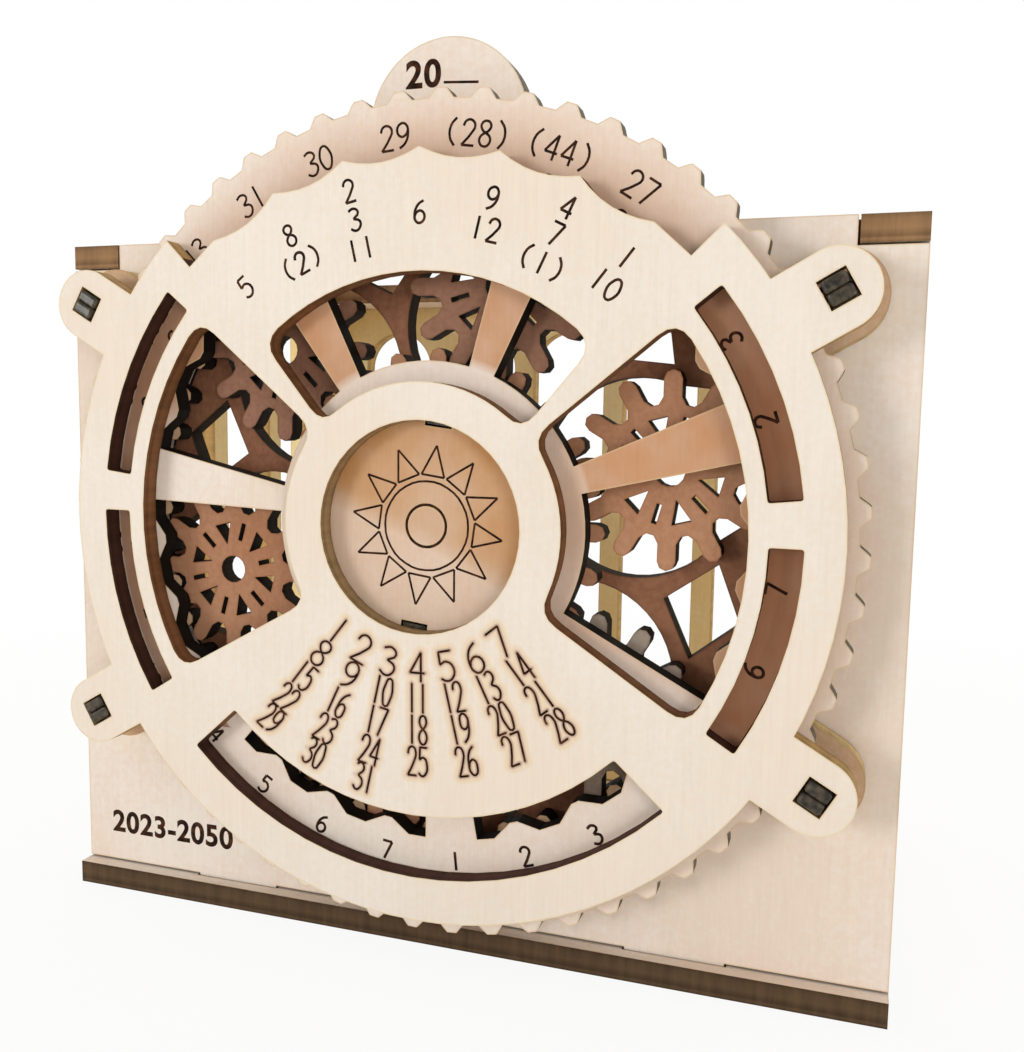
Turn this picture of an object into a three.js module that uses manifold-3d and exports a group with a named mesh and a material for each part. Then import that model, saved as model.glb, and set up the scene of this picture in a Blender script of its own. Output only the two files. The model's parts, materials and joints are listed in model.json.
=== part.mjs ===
// Perpetual desk calendar of laser-cut plywood: a geared dial on a pen box.
// Millimetres, +Z up, the dial faces -Y, the origin is under the middle of the base.
import * as THREE from "three";
import { mergeVertices } from "three/addons/utils/BufferGeometryUtils.js";
import Module from "manifold-3d";

const wasm = await Module();
wasm.setup();

// Sheet stock and clearances
const DIAL_PLY = 2.5;
const BOX_PLY = 3.0;
const RUN_GAP = 0.3; // between plates that turn past each other
const FIT_GAP = 0.25; // round tabs, pegs and tenons
const OVERRUN = 1.0; // how far a cutter passes a face

// Pen box
const BOX_RISE = 35.0; // top of the box above the dial's centre
const BOX_DEPTH = 60.0;
const BASE_LIP = 2.0; // the base stands out in front of the panel
const SIDE_MARGIN = 4.3; // the box stands out past the wheel at each side
const SIDE_INSET = 5.0;
const CORNER_TAB = 7.0; // width of the top board's tab in each panel corner
const TAB_LENGTH = 12.0;
const PANEL_TAB_PLACE = 30.0;
const PEN_MARGIN = 9.0;
const DOME_RADIUS = 10.0;
const DOME_STAND = 1.0; // the dome's centre above the head's edge
const OPENING_BAND = 1.12; // the panel's opening is wider than the ring's pitch circle
const HEAD_BAND = 6.4; // from the opening to the edge of the panel's round head
const WALL_SLOT_WIDTH = 12.5; // the slots of the rear and the side walls let the light through
const WALL_SLOT_HEIGHT = 74.0;
const WALL_SLOT_PITCH = 16.0;
const REAR_SLOT_SPAN = 2;
const SIDE_WALL_SPAN = 1;
const FLOOR_GAP = 1.0; // between the wheel's teeth and the base board

// Gear train: sun, six planets and a fixed ring; the rest of the dial is laid out from it
const GEAR_MODULE = 1.62;
const SUN_TEETH = 24;
const PLANET_TEETH = 12;
const RING_TEETH = SUN_TEETH + 2 * PLANET_TEETH;
const PLANETS = 6;
const PLANET_SHARE = 14.4 / 360; // turn of the first planet
const FINGER_WIDTH_SHARE = 1.3; // a finger's sizes are shares of the module
const FINGER_REACH_SHARE = 0.99; // beyond the pitch circle
const FINGER_DEPTH_SHARE = 1.36; // inside the pitch circle
const FINGER_FLAT_SHARE = 0.45; // of the gap at a finger's root
const FINGER_FLANK_SHARE = 0.7; // where a flank starts, of half the finger's width
const PLANET_BORE = 1.75;
const CUTOUTS = 6;
const CUTOUT_INNER = 3.3;
const CUTOUT_BAND = 1.5; // between the cutouts and the roots of the teeth
const CUTOUT_WIDTH = 2.3;
const SLIT_WIDTH = 0.6;
const SLIT_INNER = 3.9;
const SLIT_BAND = 1.3;

// Planet carrier
const CARRIER_BAND = 1.9;
const HOLE_SHIFT = 4.46; // the round holes lie inside the planets' circle
const ARM_WIDTH = 1.5;
const DIAMOND_START = 3.9; // from the holes' circle to the diamonds
const DIAMOND_TIP = 0.1; // between the diamonds and the rim
const DIAMOND_SIDE_SHARE = 0.53; // place of the side corners between the other two
const DIAMOND_HALF = 5.8;
const LIMB = 2.3;

// Front plate, from the windows outward
const CENTRE_HOLE_RADIUS = 12.5;
const HUB_WINDOW_RADIUS = 17.3;
const WINDOW_STEP = 1.18; // the side windows end inside the ring's pitch circle
const SLOT_BAND = 2.05;
const SIDE_SLOT_WIDTH = 3.65;
const DAY_SLOT_STEP = 1.2; // the day slot ends inside the side slots
const DAY_SLOT_WIDTH = 7.7;
const TOP_WINDOW_INNER = 16.9;
const TOP_WINDOW_OUTER = 29.3;
const WINDOW_CORNER = 2.6;
const SLOT_CORNER = 0.35;
const TOP_EDGE_STEP = 0.45; // the scalloped edge lies inside the side slots' outer radius
const RING_BAND = 4.2; // outside the side slots
const SLOTS = 28; // years on the wheel
const SCALLOPS = 6;
const SCALLOP_DEPTH = 1.25;

// Shares of a turn: the first and the last side of each window, each at its inner and outer end
const TOP_WINDOW_SHARES = [42.3 / 360, 45.4 / 360, 136.3 / 360, 133.2 / 360];
const RIGHT_WINDOW_SHARES = [-31.3 / 360, -32.2 / 360, 37.7 / 360, 38.5 / 360];
const LEFT_WINDOW_SHARES = [140.4 / 360, 140.1 / 360, 213.8 / 360, 211.2 / 360];
const DAY_SLOT_SHARES = [224.4 / 360, 224 / 360, 314 / 360, 314.7 / 360];
const SIDE_SLOT_SHARES = [
  [6.5 / 360, 6.5 / 360, 38.4 / 360, 38.4 / 360],
  [328.6 / 360, 328.6 / 360, 359.8 / 360, 359.8 / 360],
  [140.4 / 360, 140.4 / 360, 172.8 / 360, 172.8 / 360],
  [179.5 / 360, 179.5 / 360, 211.8 / 360, 211.8 / 360],
];
const CUT_SHARES = [44.3 / 360, 134.7 / 360]; // the top edge is cut back between these turns

// Calendar wheel
const GRIP_PROUD = 2.4; // the wheel stands out past the front plate
const GRIP_TEETH = 60;
const GRIP_DEPTH = 1.15;
const GRIP_TIP = 1.75;
const GRIP_BASE = 3.15;
const GRIP_ROUND = 0.3; // the bevel at each side of a tooth's tip
const GRIP_SHARE = 4.3 / 360; // turn of the first grip tooth
const RIM_INNER = 38.2;
const RIM_TOOTH = 1.6; // depth of the teeth inside the rim
const RIM_TOOTH_TIP = 1.0;
const RIM_TOOTH_BASE = 5.9;
const HUB_RADIUS = 19.4;
const SPOKES = 7;
const SPOKE_ROOT = 3.2;
const SPOKE_END = 6.7;
const SPOKE_SHARE = 18.2 / 360; // turn of the first spoke
const AXLE_RADIUS = 2.35;
const KEY_CIRCLE = 12.9;
const KEY_SHARE = 83 / 360;
const KEY_WIDTH = 2.9;
const KEY_THICKNESS = 1.8;
const RETAINER_RADIUS = 7.0;

// Ears and pegs
const EAR_RADIUS = 4.3;
const REAR_EAR_RADIUS = 5.1;
const PEG_SHARES = [30 / 360, 150 / 360, 210 / 360, 330 / 360];
const PEG_NAMES = ["upper_right", "upper_left", "lower_left", "lower_right"];
const PEG_PLY = 1.4;
const PEG_WIDTH = 2.75;
const PEG_PROUD = 0.4;
const PEG_SHOULDER = 1.4;
const PEG_SEAM = 0.05;
const PEG_CLEARANCE = 1.225; // between the wheel's teeth and the pegs

// Facets
const DISC_SIDES = 96;
const SMALL_SIDES = 16;
const ARC_STEP = Math.PI / 36;
const BEND_STEPS = 4;
const SCALLOP_STEPS = 6;

const TURN = 2 * Math.PI;
const polar = (radius, angle) => new THREE.Vector2(radius * Math.cos(angle), radius * Math.sin(angle));

// Depths from the wheel's front face, growing to the back
const FRONT_Y = -RUN_GAP - DIAL_PLY;
const GEAR_Y = DIAL_PLY + RUN_GAP;
const PANEL_Y = GEAR_Y + DIAL_PLY + RUN_GAP;
const CAP_Y = PANEL_Y + DIAL_PLY + RUN_GAP;
const BACK_Y = PANEL_Y + BOX_DEPTH;

// Sizes that follow from the ones above
const PITCH = GEAR_MODULE / 2;
const PLANET_CIRCLE = PITCH * (SUN_TEETH + PLANET_TEETH);
const RING_PITCH_RADIUS = PITCH * RING_TEETH;
const FINGER_WIDTH = FINGER_WIDTH_SHARE * GEAR_MODULE;
const FINGER_REACH = FINGER_REACH_SHARE * GEAR_MODULE;
const FINGER_DEPTH = FINGER_DEPTH_SHARE * GEAR_MODULE;
const PLANET_ROOT = PITCH * PLANET_TEETH - FINGER_DEPTH;
const CUTOUT_OUTER = PLANET_ROOT - CUTOUT_BAND;
const SLIT_OUTER = PLANET_ROOT - SLIT_BAND;
const OPENING_RADIUS = RING_PITCH_RADIUS + OPENING_BAND; // the carrier turns in this opening
const HEAD_RADIUS = OPENING_RADIUS + HEAD_BAND;
const CARRIER_RADIUS = OPENING_RADIUS - RUN_GAP;
const CARRIER_RIM = CARRIER_RADIUS - CARRIER_BAND;
const HOLE_CIRCLE = PLANET_CIRCLE - HOLE_SHIFT;
const HOLE_RADIUS = HOLE_CIRCLE * Math.sin(Math.PI / PLANETS) - ARM_WIDTH / 2;
const DIAMOND_INNER = HOLE_CIRCLE + DIAMOND_START;
const DIAMOND_OUTER = CARRIER_RIM - DIAMOND_TIP;
const DIAMOND_SIDE = DIAMOND_INNER + DIAMOND_SIDE_SHARE * (DIAMOND_OUTER - DIAMOND_INNER);
const SIDE_WINDOW_RADIUS = RING_PITCH_RADIUS - WINDOW_STEP;
const SIDE_SLOT_INNER = SIDE_WINDOW_RADIUS + SLOT_BAND;
const SIDE_SLOT_OUTER = SIDE_SLOT_INNER + SIDE_SLOT_WIDTH;
const DAY_SLOT_OUTER = SIDE_SLOT_OUTER - DAY_SLOT_STEP;
const DAY_SLOT_INNER = DAY_SLOT_OUTER - DAY_SLOT_WIDTH;
const TOP_EDGE_RADIUS = SIDE_SLOT_OUTER - TOP_EDGE_STEP;
const RING_RADIUS = SIDE_SLOT_OUTER + RING_BAND;
const WHEEL_RADIUS = RING_RADIUS + GRIP_PROUD;
const PEG_CIRCLE = WHEEL_RADIUS + PEG_CLEARANCE + PEG_WIDTH / 2;
const DIAL_HEIGHT = BOX_PLY + FLOOR_GAP + WHEEL_RADIUS; // its centre above the table
const BOX_HEIGHT = DIAL_HEIGHT + BOX_RISE;
const BOX_WIDTH = 2 * (WHEEL_RADIUS + SIDE_MARGIN);

// Solids from outlines, with joins and cuts

function solidOf(geometry) {
  const g = geometry.clone();
  g.deleteAttribute("normal");
  g.deleteAttribute("uv");
  const merged = mergeVertices(g);
  return new wasm.Manifold(
    new wasm.Mesh({
      numProp: 3,
      vertProperties: new Float32Array(merged.attributes.position.array),
      triVerts: new Uint32Array(merged.index.array),
    }),
  );
}

function geometryOf(solid) {
  const mesh = solid.getMesh();
  const g = new THREE.BufferGeometry();
  g.setAttribute("position", new THREE.BufferAttribute(new Float32Array(mesh.vertProperties), 3));
  g.setIndex(new THREE.BufferAttribute(new Uint32Array(mesh.triVerts), 1));
  g.computeVertexNormals();
  return g;
}

// An upright board: the outline lies in X and Z, the ply runs from y to y + thickness
function board(points, y, thickness) {
  const g = new THREE.ExtrudeGeometry(new THREE.Shape(points), { depth: thickness, bevelEnabled: false });
  g.rotateX(Math.PI / 2);
  g.translate(0, y + thickness, 0);
  return solidOf(g);
}

function cutter(points, y, thickness) {
  return board(points, y - OVERRUN, thickness + 2 * OVERRUN);
}

function block(x0, x1, y0, y1, z0, z1) {
  const g = new THREE.BoxGeometry(x1 - x0, y1 - y0, z1 - z0);
  g.translate((x0 + x1) / 2, (y0 + y1) / 2, (z0 + z1) / 2);
  return solidOf(g);
}

// Outlines

function arc(radius, from, to, centre = new THREE.Vector2()) {
  const steps = Math.max(1, Math.ceil(Math.abs(to - from) / ARC_STEP - 1e-6));
  const points = [];
  for (let i = 0; i <= steps; i++) points.push(polar(radius, from + ((to - from) * i) / steps).add(centre));
  return points;
}

function disc(radius, sides, centre = new THREE.Vector2(), start = 0) {
  const points = [];
  for (let i = 0; i < sides; i++) points.push(polar(radius, start + (TURN * i) / sides).add(centre));
  return points;
}

function turned(points, angle, centre = new THREE.Vector2()) {
  return points.map((p) => p.clone().rotateAround(new THREE.Vector2(), angle).add(centre));
}

function bend(from, corner, to) {
  return new THREE.QuadraticBezierCurve(from, corner, to).getPoints(BEND_STEPS);
}

// A window between two radii, from the shares of a turn of its first and its last side
function windowOutline(inner, outer, shares, round) {
  const [startInner, startOuter, endInner, endOuter] = shares.map((share) => share * TURN);
  const corners = {
    outerStart: polar(outer, startOuter),
    outerEnd: polar(outer, endOuter),
    innerEnd: polar(inner, endInner),
    innerStart: polar(inner, startInner),
  };
  const along = (a, b) => a.clone().add(b.clone().sub(a).setLength(round));
  return [
    ...bend(
      along(corners.outerStart, corners.innerStart),
      corners.outerStart,
      polar(outer, startOuter + round / outer),
    ),
    ...arc(outer, startOuter + round / outer, endOuter - round / outer).slice(1, -1),
    ...bend(polar(outer, endOuter - round / outer), corners.outerEnd, along(corners.outerEnd, corners.innerEnd)),
    ...bend(along(corners.innerEnd, corners.outerEnd), corners.innerEnd, polar(inner, endInner - round / inner)),
    ...arc(inner, endInner - round / inner, startInner + round / inner).slice(1, -1),
    ...bend(
      polar(inner, startInner + round / inner),
      corners.innerStart,
      along(corners.innerStart, corners.outerStart),
    ),
  ];
}

function earOutline(radius, angle) {
  const straight = [new THREE.Vector2(PEG_CIRCLE - 2 * EAR_RADIUS, radius), new THREE.Vector2(PEG_CIRCLE, radius)];
  const round = arc(radius, Math.PI / 2, -Math.PI / 2, new THREE.Vector2(PEG_CIRCLE, 0));
  const below = new THREE.Vector2(PEG_CIRCLE - 2 * EAR_RADIUS, -radius);
  return turned([below, ...round.reverse(), straight[0]], angle);
}

function pegHole(angle) {
  const u = PEG_WIDTH / 2 + FIT_GAP;
  const v = PEG_PLY + PEG_SEAM / 2 + FIT_GAP;
  const square = [
    new THREE.Vector2(-u, -v),
    new THREE.Vector2(u, -v),
    new THREE.Vector2(u, v),
    new THREE.Vector2(-u, v),
  ];
  return turned(square, angle, polar(PEG_CIRCLE, angle));
}

function keyHole(angle, gap) {
  const u = KEY_THICKNESS / 2 + gap;
  const v = KEY_WIDTH / 2 + gap;
  const slot = [
    new THREE.Vector2(-u, -v),
    new THREE.Vector2(u, -v),
    new THREE.Vector2(u, v),
    new THREE.Vector2(-u, v),
  ];
  return turned(slot, angle, polar(KEY_CIRCLE, angle));
}

// The scalloped top edge, from the right end of the cut to the left
function scallops() {
  const pitch = TURN / SLOTS;
  const first = Math.PI / 2 - (SCALLOPS / 2) * pitch;
  const points = [polar(TOP_EDGE_RADIUS, CUT_SHARES[0] * TURN)];
  for (let i = 0; i <= SCALLOPS; i++) {
    const cusp = first + i * pitch;
    points.push(polar(TOP_EDGE_RADIUS, cusp));
    if (i === SCALLOPS) break;
    for (let j = 1; j < SCALLOP_STEPS; j++) {
      const share = j / SCALLOP_STEPS;
      const dip = SCALLOP_DEPTH * 4 * share * (1 - share);
      points.push(polar(TOP_EDGE_RADIUS - dip, cusp + share * pitch));
    }
  }
  points.push(polar(TOP_EDGE_RADIUS, CUT_SHARES[1] * TURN));
  return points;
}

// Front plate with the months and the dates
function frontPlate() {
  let solid = board(disc(RING_RADIUS, DISC_SIDES), FRONT_Y, DIAL_PLY);
  const beyond = RING_RADIUS + OVERRUN;
  const cut = [
    ...scallops(),
    ...arc(beyond, CUT_SHARES[1] * TURN, CUT_SHARES[0] * TURN),
  ];
  solid = solid.subtract(cutter(cut, FRONT_Y, DIAL_PLY));
  for (const share of PEG_SHARES) solid = solid.add(board(earOutline(EAR_RADIUS, share * TURN), FRONT_Y, DIAL_PLY));
  const windows = [
    windowOutline(TOP_WINDOW_INNER, TOP_WINDOW_OUTER, TOP_WINDOW_SHARES, WINDOW_CORNER),
    windowOutline(HUB_WINDOW_RADIUS, SIDE_WINDOW_RADIUS, RIGHT_WINDOW_SHARES, WINDOW_CORNER),
    windowOutline(HUB_WINDOW_RADIUS, SIDE_WINDOW_RADIUS, LEFT_WINDOW_SHARES, WINDOW_CORNER),
    windowOutline(DAY_SLOT_INNER, DAY_SLOT_OUTER, DAY_SLOT_SHARES, SLOT_CORNER),
    ...SIDE_SLOT_SHARES.map((shares) => windowOutline(SIDE_SLOT_INNER, SIDE_SLOT_OUTER, shares, SLOT_CORNER)),
    disc(CENTRE_HOLE_RADIUS, DISC_SIDES / 2),
    ...PEG_SHARES.map((share) => pegHole(share * TURN)),
  ];
  for (const outline of windows) solid = solid.subtract(cutter(outline, FRONT_Y, DIAL_PLY));
  return solid;
}

// Calendar wheel: 60 grip teeth outside, small teeth inside the rim, seven spokes
function calendarWheel() {
  const outline = [];
  const root = WHEEL_RADIUS - GRIP_DEPTH;
  for (let i = 0; i < GRIP_TEETH; i++) {
    const middle = (GRIP_SHARE + i / GRIP_TEETH) * TURN;
    const tip = GRIP_TIP / 2 / WHEEL_RADIUS;
    const flat = tip - GRIP_ROUND / WHEEL_RADIUS;
    const base = GRIP_BASE / 2 / root;
    outline.push(
      polar(root, middle - base),
      polar(WHEEL_RADIUS - GRIP_ROUND, middle - tip),
      polar(WHEEL_RADIUS, middle - flat),
      polar(WHEEL_RADIUS, middle + flat),
      polar(WHEEL_RADIUS - GRIP_ROUND, middle + tip),
      polar(root, middle + base),
    );
  }
  let solid = board(outline, 0, DIAL_PLY);
  const perSpoke = SLOTS / SPOKES;
  for (let s = 0; s < SPOKES; s++) {
    const from = (SPOKE_SHARE + s / SPOKES) * TURN;
    const to = from + TURN / SPOKES;
    const window = [polar(RIM_INNER, from + Math.asin(SPOKE_END / 2 / RIM_INNER))];
    for (let i = 1; i < perSpoke; i++) {
      const middle = from + (i * TURN) / SLOTS;
      const base = RIM_TOOTH_BASE / 2 / RIM_INNER;
      const tipRadius = RIM_INNER - RIM_TOOTH;
      const tip = RIM_TOOTH_TIP / 2 / tipRadius;
      window.push(
        polar(RIM_INNER, middle - base),
        polar(tipRadius, middle - tip),
        polar(tipRadius, middle + tip),
        polar(RIM_INNER, middle + base),
      );
    }
    window.push(polar(RIM_INNER, to - Math.asin(SPOKE_END / 2 / RIM_INNER)));
    const half = Math.asin(SPOKE_ROOT / 2 / HUB_RADIUS);
    window.push(...arc(HUB_RADIUS, to - half, from + half));
    solid = solid.subtract(cutter(window, 0, DIAL_PLY));
  }
  solid = solid.subtract(cutter(disc(AXLE_RADIUS + FIT_GAP, SMALL_SIDES * 2), 0, DIAL_PLY));
  for (const angle of keyAngles()) solid = solid.subtract(cutter(keyHole(angle, FIT_GAP), 0, DIAL_PLY));
  return solid;
}

const keyAngles = () => [KEY_SHARE * TURN, (KEY_SHARE + 0.5) * TURN];

// One finger tooth pointing along +X at the pitch radius; side is +1 outward, -1 inward
function finger(pitchRadius, side, half, toothShare) {
  const tip = pitchRadius + side * (FINGER_REACH - half);
  const root = pitchRadius - side * FINGER_DEPTH;
  const points = [];
  const gap = toothShare / 2 - Math.asin(half / root);
  points.push(polar(root, -toothShare / 2));
  points.push(polar(root, -toothShare / 2 + gap * FINGER_FLAT_SHARE));
  points.push(new THREE.Vector2(root + side * half * FINGER_FLANK_SHARE, -half));
  for (let i = 0; i <= BEND_STEPS; i++) {
    const a = -Math.PI / 2 + (Math.PI * i) / BEND_STEPS;
    points.push(new THREE.Vector2(tip + side * half * Math.cos(a), half * Math.sin(a)));
  }
  points.push(new THREE.Vector2(root + side * half * FINGER_FLANK_SHARE, half));
  points.push(polar(root, toothShare / 2 - gap * FINGER_FLAT_SHARE));
  return points;
}

function gearOutline(teeth, side, phase) {
  const pitchRadius = PITCH * teeth;
  const share = TURN / teeth;
  const outline = [];
  for (let i = 0; i < teeth; i++)
    outline.push(...turned(finger(pitchRadius, side, FINGER_WIDTH / 2, share), phase + i * share));
  return outline;
}

function sunGear() {
  let solid = board(gearOutline(SUN_TEETH, 1, PLANET_SHARE * TURN), GEAR_Y, DIAL_PLY);
  solid = solid.subtract(cutter(disc(AXLE_RADIUS + FIT_GAP, SMALL_SIDES * 2), GEAR_Y, DIAL_PLY));
  for (const angle of keyAngles()) solid = solid.subtract(cutter(keyHole(angle, FIT_GAP), GEAR_Y, DIAL_PLY));
  return solid;
}

// A planet about its own centre, with a gap between two teeth along +X and -X
function planetGear() {
  let solid = board(gearOutline(PLANET_TEETH, 1, TURN / PLANET_TEETH / 2), GEAR_Y, DIAL_PLY);
  const cuts = [disc(PLANET_BORE, SMALL_SIDES)];
  for (let i = 0; i < CUTOUTS; i++) {
    const angle = (TURN * i) / CUTOUTS;
    const triangle = [
      new THREE.Vector2(CUTOUT_INNER, 0),
      new THREE.Vector2(CUTOUT_OUTER, -CUTOUT_WIDTH / 2),
      new THREE.Vector2(CUTOUT_OUTER, CUTOUT_WIDTH / 2),
    ];
    const slit = [
      new THREE.Vector2(SLIT_INNER, -SLIT_WIDTH / 2),
      new THREE.Vector2(SLIT_OUTER, -SLIT_WIDTH / 2),
      new THREE.Vector2(SLIT_OUTER, SLIT_WIDTH / 2),
      new THREE.Vector2(SLIT_INNER, SLIT_WIDTH / 2),
    ];
    cuts.push(turned(slit, angle), turned(triangle, angle + TURN / CUTOUTS / 2));
  }
  for (const outline of cuts) solid = solid.subtract(cutter(outline, GEAR_Y, DIAL_PLY));
  return solid;
}

function ringGearPlate() {
  let solid = board(disc(RING_RADIUS, DISC_SIDES), GEAR_Y, DIAL_PLY);
  for (const share of PEG_SHARES)
    solid = solid.add(board(earOutline(REAR_EAR_RADIUS, share * TURN), GEAR_Y, DIAL_PLY));
  solid = solid.subtract(cutter(gearOutline(RING_TEETH, -1, PLANET_SHARE * TURN), GEAR_Y, DIAL_PLY));
  for (const share of PEG_SHARES) solid = solid.subtract(cutter(pegHole(share * TURN), GEAR_Y, DIAL_PLY));
  return solid;
}

// Carrier: a hub, six Y arms that stand between the planets, and a rim
function planetCarrier() {
  let solid = board(disc(CARRIER_RADIUS, DISC_SIDES), PANEL_Y, DIAL_PLY);
  solid = solid.subtract(cutter(disc(AXLE_RADIUS + FIT_GAP, SMALL_SIDES * 2), PANEL_Y, DIAL_PLY));
  const halfPitch = TURN / PLANETS / 2;
  const run = new THREE.Vector2(DIAMOND_SIDE - DIAMOND_INNER, DIAMOND_HALF).normalize();
  const start = new THREE.Vector2(DIAMOND_INNER, 0).add(new THREE.Vector2(-run.y, run.x).multiplyScalar(LIMB));
  const hole = polar(HOLE_CIRCLE, halfPitch);
  const foot = start.clone().add(run.clone().multiplyScalar(hole.clone().sub(start).dot(run)));
  const reach = start.dot(run);
  const far = Math.sqrt(reach * reach + CARRIER_RIM * CARRIER_RIM - start.lengthSq()) - reach;
  const end = start.clone().add(run.clone().multiplyScalar(far));
  const mirror = (p) => polar(p.length(), 2 * halfPitch - p.angle());
  const lobe = [foot, end, ...arc(CARRIER_RIM, end.angle(), mirror(end).angle()).slice(1), mirror(foot)];
  const diamond = [
    new THREE.Vector2(DIAMOND_INNER, 0),
    new THREE.Vector2(DIAMOND_SIDE, -DIAMOND_HALF),
    new THREE.Vector2(DIAMOND_OUTER, 0),
    new THREE.Vector2(DIAMOND_SIDE, DIAMOND_HALF),
  ];
  for (let i = 0; i < PLANETS; i++) {
    const arm = (PLANET_SHARE + i / PLANETS) * TURN - halfPitch;
    const round = disc(HOLE_RADIUS, DISC_SIDES / 2, hole);
    for (const outline of [round, lobe, diamond])
      solid = solid.subtract(cutter(turned(outline, arm), PANEL_Y, DIAL_PLY));
  }
  return solid;
}

// A collar on the axle's rear end keeps the carrier in the panel's opening
function axleRetainer() {
  const solid = board(disc(RETAINER_RADIUS, SMALL_SIDES * 2), CAP_Y, DIAL_PLY);
  return solid.subtract(cutter(disc(AXLE_RADIUS + FIT_GAP, SMALL_SIDES * 2), CAP_Y, DIAL_PLY));
}

// One ply of a peg: its shoulder stands outward between the front plate and the ring plate
function pegPly(angle, side) {
  const u = PEG_WIDTH / 2;
  const wide = u + PEG_SHOULDER;
  const steps = [
    [-u, FRONT_Y - PEG_PROUD],
    [u, FRONT_Y - PEG_PROUD],
    [u, 0],
    [wide, 0],
    [wide, DIAL_PLY],
    [u, DIAL_PLY],
    [u, PANEL_Y + BOX_PLY],
    [-u, PANEL_Y + BOX_PLY],
  ];
  const shape = new THREE.Shape(steps.map(([x, y]) => new THREE.Vector2(x, y)));
  const g = new THREE.ExtrudeGeometry(shape, { depth: PEG_PLY, bevelEnabled: false });
  g.translate(PEG_CIRCLE, 0, side > 0 ? PEG_SEAM / 2 : -PEG_SEAM / 2 - PEG_PLY);
  g.rotateY(-angle);
  return solidOf(g);
}

// Front or rear panel: stands on the base, notched for the top board's tabs
function panel(y) {
  const half = BOX_WIDTH / 2;
  const foot = BOX_PLY + FIT_GAP;
  const notch = BOX_PLY + FIT_GAP;
  const inner = half - CORNER_TAB - FIT_GAP;
  let solid = block(-half, half, y, y + BOX_PLY, foot, BOX_HEIGHT - notch);
  solid = solid.add(block(-inner, inner, y, y + BOX_PLY, foot, BOX_HEIGHT));
  for (const x of [-PANEL_TAB_PLACE, PANEL_TAB_PLACE])
    solid = solid.add(block(x - TAB_LENGTH / 2, x + TAB_LENGTH / 2, y, y + BOX_PLY, 0, foot + BOX_PLY));
  return solid;
}

function frontPanel() {
  const centre = new THREE.Vector2(0, DIAL_HEIGHT);
  const domeCentre = new THREE.Vector2(0, DIAL_HEIGHT + HEAD_RADIUS + DOME_STAND);
  const dome = [
    new THREE.Vector2(-DOME_RADIUS, DIAL_HEIGHT + OPENING_RADIUS),
    new THREE.Vector2(DOME_RADIUS, DIAL_HEIGHT + OPENING_RADIUS),
    ...arc(DOME_RADIUS, 0, Math.PI, domeCentre),
  ];
  const head = disc(HEAD_RADIUS, DISC_SIDES, centre);
  let solid = panel(PANEL_Y).add(board(head, PANEL_Y, BOX_PLY)).add(board(dome, PANEL_Y, BOX_PLY));
  solid = solid.subtract(cutter(disc(OPENING_RADIUS, DISC_SIDES, centre), PANEL_Y, BOX_PLY));
  for (const share of PEG_SHARES)
    solid = solid.subtract(
      cutter(
        pegHole(share * TURN).map((p) => p.add(centre)),
        PANEL_Y,
        BOX_PLY,
      ),
    );
  return solid;
}

// Tall round-ended slots on both sides of a wall's middle line
function wallSlots(span) {
  const half = WALL_SLOT_WIDTH / 2;
  const low = (BOX_HEIGHT - WALL_SLOT_HEIGHT) / 2 + half;
  const high = (BOX_HEIGHT + WALL_SLOT_HEIGHT) / 2 - half;
  const outlines = [];
  for (let i = -span; i <= span; i++) {
    const across = i * WALL_SLOT_PITCH;
    outlines.push([
      ...arc(half, Math.PI, TURN, new THREE.Vector2(across, low)),
      ...arc(half, 0, Math.PI, new THREE.Vector2(across, high)),
    ]);
  }
  return outlines;
}

function rearPanel() {
  const y = BACK_Y - BOX_PLY;
  let solid = panel(y);
  for (const slot of wallSlots(REAR_SLOT_SPAN)) solid = solid.subtract(cutter(slot, y, BOX_PLY));
  return solid;
}

const sideOuter = BOX_WIDTH / 2 - SIDE_INSET;
const sideTabs = () => {
  const front = PANEL_Y + BOX_PLY + FIT_GAP;
  const back = BACK_Y - BOX_PLY - FIT_GAP;
  return [front + (back - front) / 4, back - (back - front) / 4];
};

function basePlate() {
  let solid = block(-BOX_WIDTH / 2, BOX_WIDTH / 2, PANEL_Y - BASE_LIP, BACK_Y, 0, BOX_PLY);
  for (const y of [PANEL_Y, BACK_Y - BOX_PLY])
    for (const x of [-PANEL_TAB_PLACE, PANEL_TAB_PLACE]) {
      const half = TAB_LENGTH / 2 + FIT_GAP;
      const back = Math.min(y + BOX_PLY + FIT_GAP, BACK_Y + OVERRUN);
      solid = solid.subtract(block(x - half, x + half, y - FIT_GAP, back, -OVERRUN, BOX_PLY + OVERRUN));
    }
  return cutForSides(solid, -OVERRUN, BOX_PLY + OVERRUN);
}

function cutForSides(board, low, high) {
  let solid = board;
  for (const side of [-1, 1])
    for (const y of sideTabs()) {
      const x = side * (sideOuter - BOX_PLY / 2);
      const across = BOX_PLY / 2 + FIT_GAP;
      const along = TAB_LENGTH / 2 + FIT_GAP;
      solid = solid.subtract(block(x - across, x + across, y - along, y + along, low, high));
    }
  return solid;
}

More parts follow.
